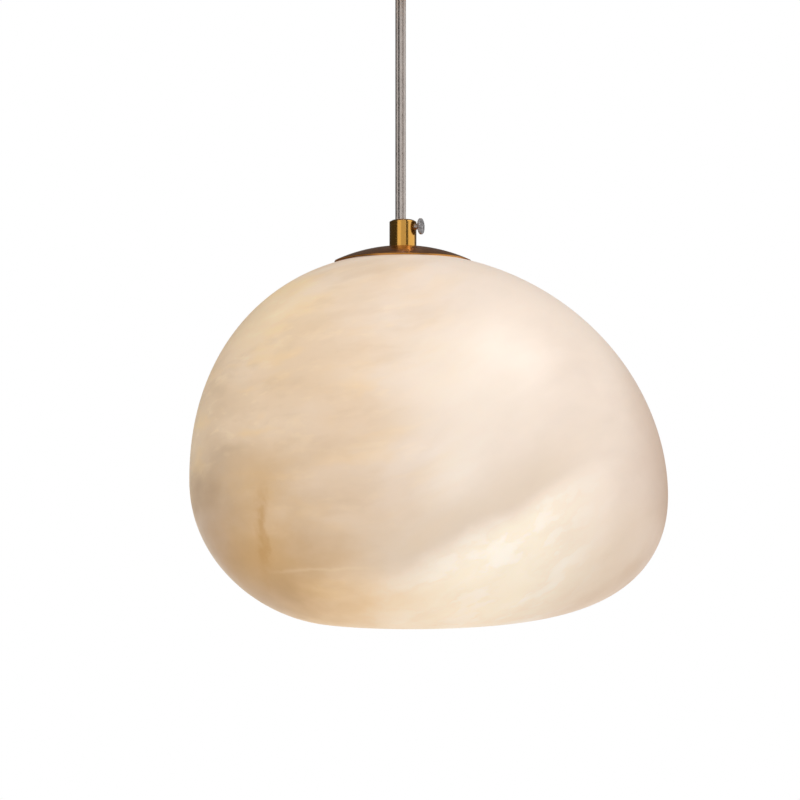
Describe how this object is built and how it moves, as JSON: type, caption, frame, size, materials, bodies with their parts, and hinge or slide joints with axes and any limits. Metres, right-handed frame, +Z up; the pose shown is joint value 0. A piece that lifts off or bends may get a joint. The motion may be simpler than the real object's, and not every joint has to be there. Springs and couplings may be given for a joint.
{
  "type": "pendant light",
  "caption": "Pendant light with a hollow alabaster pebble shade under a brass cap, hung by a clear cord and cord grip from a brass canopy.",
  "frame": {"origin": "middle of the ceiling face of the mounting bracket", "axes": "+Z up out of the ceiling face, +X along the crossbar towards the shade's long side, -Y the front"},
  "size_m": [0.2367, 0.208, 0.3521],
  "materials": {
    "alabaster": "honed, satin, translucent",
    "brass": "polished and lacquered",
    "nickel": "knurled, nickel plated",
    "zinc_steel": "zinc plated",
    "clear_sheath": "clear sheath over tinned cores",
    "brown_core": "smooth",
    "blue_core": "smooth",
    "earth_core": "smooth, green and yellow",
    "nylon": "moulded",
    "silicone": "soft, matt",
    "ceramic": "unglazed",
    "white_plastic": "moulded",
    "opal_glass": "frosted, lit"
  },
  "bodies": {
    "ceiling_rose": {"mounting_bracket": "zinc_steel", "bracket_studs": "zinc_steel", "stud_nuts": "zinc_steel", "canopy": "brass", "canopy_cap_nuts": "brass", "upper_nipple": "zinc_steel", "upper_lock_washer": "zinc_steel", "upper_lock_nut": "zinc_steel", "upper_cord_grip": "brass", "terminal_block": "nylon", "terminal_barrels": "brass", "terminal_screws": "zinc_steel", "block_screw": "zinc_steel", "cord_top_tail": "clear_sheath", "live_lead": "brown_core", "neutral_lead": "blue_core", "earth_lead": "earth_core", "earth_screw": "brass"},
    "upper_thumbscrew": {"upper_thumbscrew": "nickel"},
    "cord": {"supply_cord": "clear_sheath"},
    "hanger": {"lower_cord_grip": "brass", "hanger_nipple": "zinc_steel", "clamp_washer": "zinc_steel", "clamp_nut": "zinc_steel", "lampholder_cup": "nickel", "lampholder_insert": "ceramic", "retaining_ring": "zinc_steel", "lamp_contacts": "brass", "cord_lower_tail": "clear_sheath", "lamp_live_lead": "brown_core", "lamp_neutral_lead": "blue_core", "lamp_earth_lead": "earth_core", "cup_earth_screw": "zinc_steel"},
    "lower_thumbscrew": {"lower_thumbscrew": "nickel"},
    "shade": {"shade_cap": "brass", "cap_gasket": "silicone", "shade_crown": "alabaster", "shade_belt": "alabaster", "shade_heel": "alabaster", "shade_floor": "alabaster", "clamp_gasket": "silicone", "clamp_plate": "zinc_steel"},
    "bulb": {"bulb_base": "white_plastic", "bulb_pins": "nickel", "bulb_capsule": "opal_glass", "led_board": "ceramic"}
  },
  "joints": [
    {"name": "sway", "type": "hinge", "parent": "ceiling_rose", "child": "cord", "pos_m": [-0.00115, 0, -0.0384], "axis": [0, 1, 0], "range_deg": [-40, 40]},
    {"name": "height", "type": "slide", "parent": "cord", "child": "hanger", "axis": [0, 0, 1], "range_m": [0, 0.07], "deforming": ["supply_cord"]},
    {"name": "shade_turn", "type": "hinge", "parent": "hanger", "child": "shade", "pos_m": [0, 0, -0.1667], "axis": [0, 0, 1], "continuous": true},
    {"name": "upper_thumbscrew_turn", "type": "hinge", "parent": "ceiling_rose", "child": "upper_thumbscrew", "pos_m": [0, 0, -0.0349], "axis": [0.9272, 0.3746, 0], "range_deg": [0, 720]},
    {"name": "lower_thumbscrew_turn", "type": "hinge", "parent": "hanger", "child": "lower_thumbscrew", "pos_m": [0, 0, -0.1568], "axis": [0.9272, -0.3746, 0], "range_deg": [0, 720]},
    {"name": "bulb_pull", "type": "slide", "parent": "hanger", "child": "bulb", "axis": [0, 0, -1], "range_m": [0, 0.03]}
  ]
}
